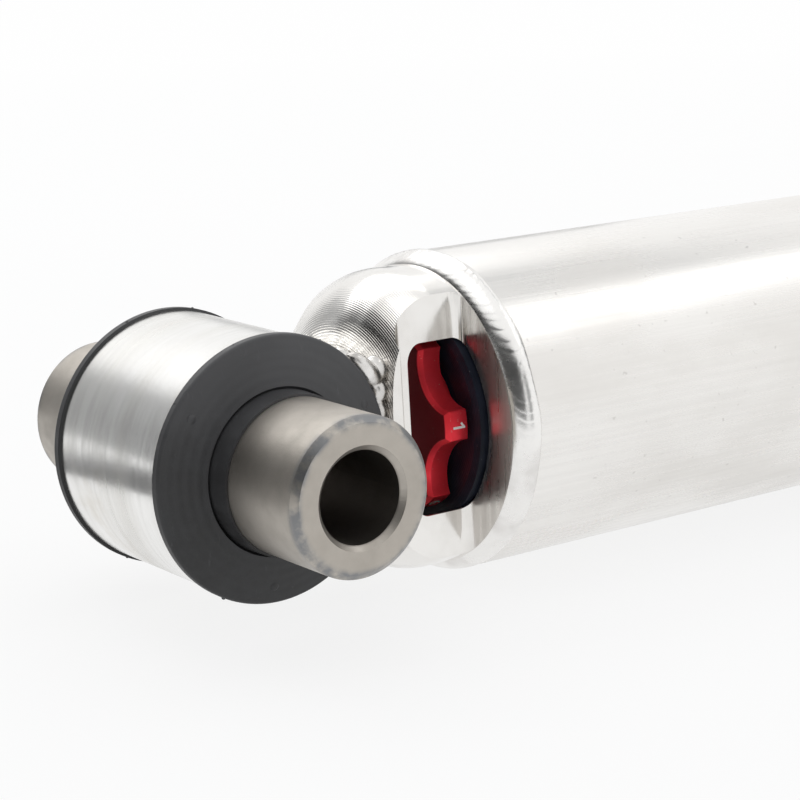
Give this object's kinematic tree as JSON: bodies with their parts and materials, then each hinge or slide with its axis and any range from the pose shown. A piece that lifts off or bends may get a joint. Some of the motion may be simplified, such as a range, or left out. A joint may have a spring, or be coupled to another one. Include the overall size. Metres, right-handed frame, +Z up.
{
  "type": "shock absorber",
  "caption": "Gas-charged twin-tube shock absorber with a welded base eye, rubber-bushed steel sleeves, a windowed base cap and a red damping adjuster knob.",
  "frame": {"origin": "centre of the bolt hole through the lower eye's sleeve", "axes": "+X along the shock from the lower eye to the rod end, Y along the lower eye's bolt, +Z up"},
  "size_m": [0.6576, 0.0774, 0.0546],
  "materials": {
    "aluminium": "satin brushed, turned rings on the cap",
    "weld_aluminium": "rippled weld bead",
    "knob_red": "satin red anodised with bright edges",
    "black_anodised": "satin black anodised",
    "sleeve_steel": "dull plated steel",
    "bush_rubber": "matte charcoal",
    "chrome_rod": "hard chrome, polished",
    "steel": "machined",
    "spring_steel": "blued strip",
    "bronze": "sintered bush",
    "seal_rubber": "smooth black",
    "band_plastic": "filled low-friction plastic",
    "gas_cell_plastic": "thin film bag",
    "bump_foam": "closed-cell foam",
    "zinc_steel": "zinc plated"
  },
  "bodies": {
    "shock_body": {"adjuster_plate": "black_anodised", "base_cap": "aluminium", "base_shim_1": "spring_steel", "base_shim_2": "spring_steel", "base_shim_3": "spring_steel", "base_valve_body": "aluminium", "base_valve_bolt": "steel", "base_valve_nut": "steel", "body_tube": "aluminium", "body_weld": "weld_aluminium", "check_shim": "spring_steel", "check_spring": "spring_steel", "detent_ball_1": "steel", "detent_ball_2": "steel", "detent_plunger_1": "steel", "detent_plunger_2": "steel", "end_cap": "black_anodised", "eye_weld": "weld_aluminium", "gas_cell": "gas_cell_plastic", "guide_bush": "bronze", "guide_o_ring": "seal_rubber", "lower_bush_far": "bush_rubber", "lower_bush_near": "bush_rubber", "lower_eye_tube": "aluminium", "plate_o_ring": "seal_rubber", "pressure_tube": "steel", "rod_guide": "aluminium", "rod_seal": "seal_rubber", "rod_wiper": "seal_rubber"},
    "lower_bolt_sleeve": {"lower_sleeve": "sleeve_steel"},
    "adjuster": {"adjuster_knob": "knob_red", "knob_screw": "steel", "adjuster_shaft": "steel", "shaft_o_ring": "seal_rubber", "shaft_clip": "spring_steel"},
    "piston_seal": {"piston_band": "band_plastic"},
    "rod_assembly": {"rod": "chrome_rod", "piston": "aluminium", "stop_washer": "steel", "piston_nut": "steel", "rebound_stop_ring": "steel", "rebound_bumper": "seal_rubber", "bump_stop": "bump_foam", "bump_cup": "zinc_steel", "upper_eye": "aluminium", "upper_bush_near": "bush_rubber", "upper_bush_far": "bush_rubber", "piston_check_shim_1": "spring_steel", "piston_check_shim_2": "spring_steel", "rebound_shim_1": "spring_steel", "rebound_shim_2": "spring_steel", "rebound_shim_3": "spring_steel"},
    "upper_bolt_sleeve": {"upper_sleeve": "sleeve_steel"}
  },
  "joints": [
    {"name": "rod_slide", "type": "slide", "parent": "shock_body", "child": "piston_seal", "axis": [1, 0, 0], "range_m": [-0.2, 0], "stiffness_N_per_m": 400, "springref_m": 0.4},
    {"name": "rod_spin", "type": "hinge", "parent": "piston_seal", "child": "rod_assembly", "pos_m": [0.6155, 0, 0], "axis": [1, 0, 0], "continuous": true},
    {"name": "adjuster_turn", "type": "hinge", "parent": "shock_body", "child": "adjuster", "pos_m": [0.0332, 0, 0], "axis": [1, 0, 0], "range_deg": [0, 300]},
    {"name": "lower_bush_twist", "type": "hinge", "parent": "shock_body", "child": "lower_bolt_sleeve", "pos_m": [0, 0, 0], "axis": [0, 1, 0], "range_deg": [-20, 20], "stiffness_Nm_per_rad": 30},
    {"name": "upper_bush_twist", "type": "hinge", "parent": "rod_assembly", "child": "upper_bolt_sleeve", "pos_m": [0.6155, 0, 0], "axis": [0, 1, 0], "range_deg": [-20, 20], "stiffness_Nm_per_rad": 30}
  ]
}
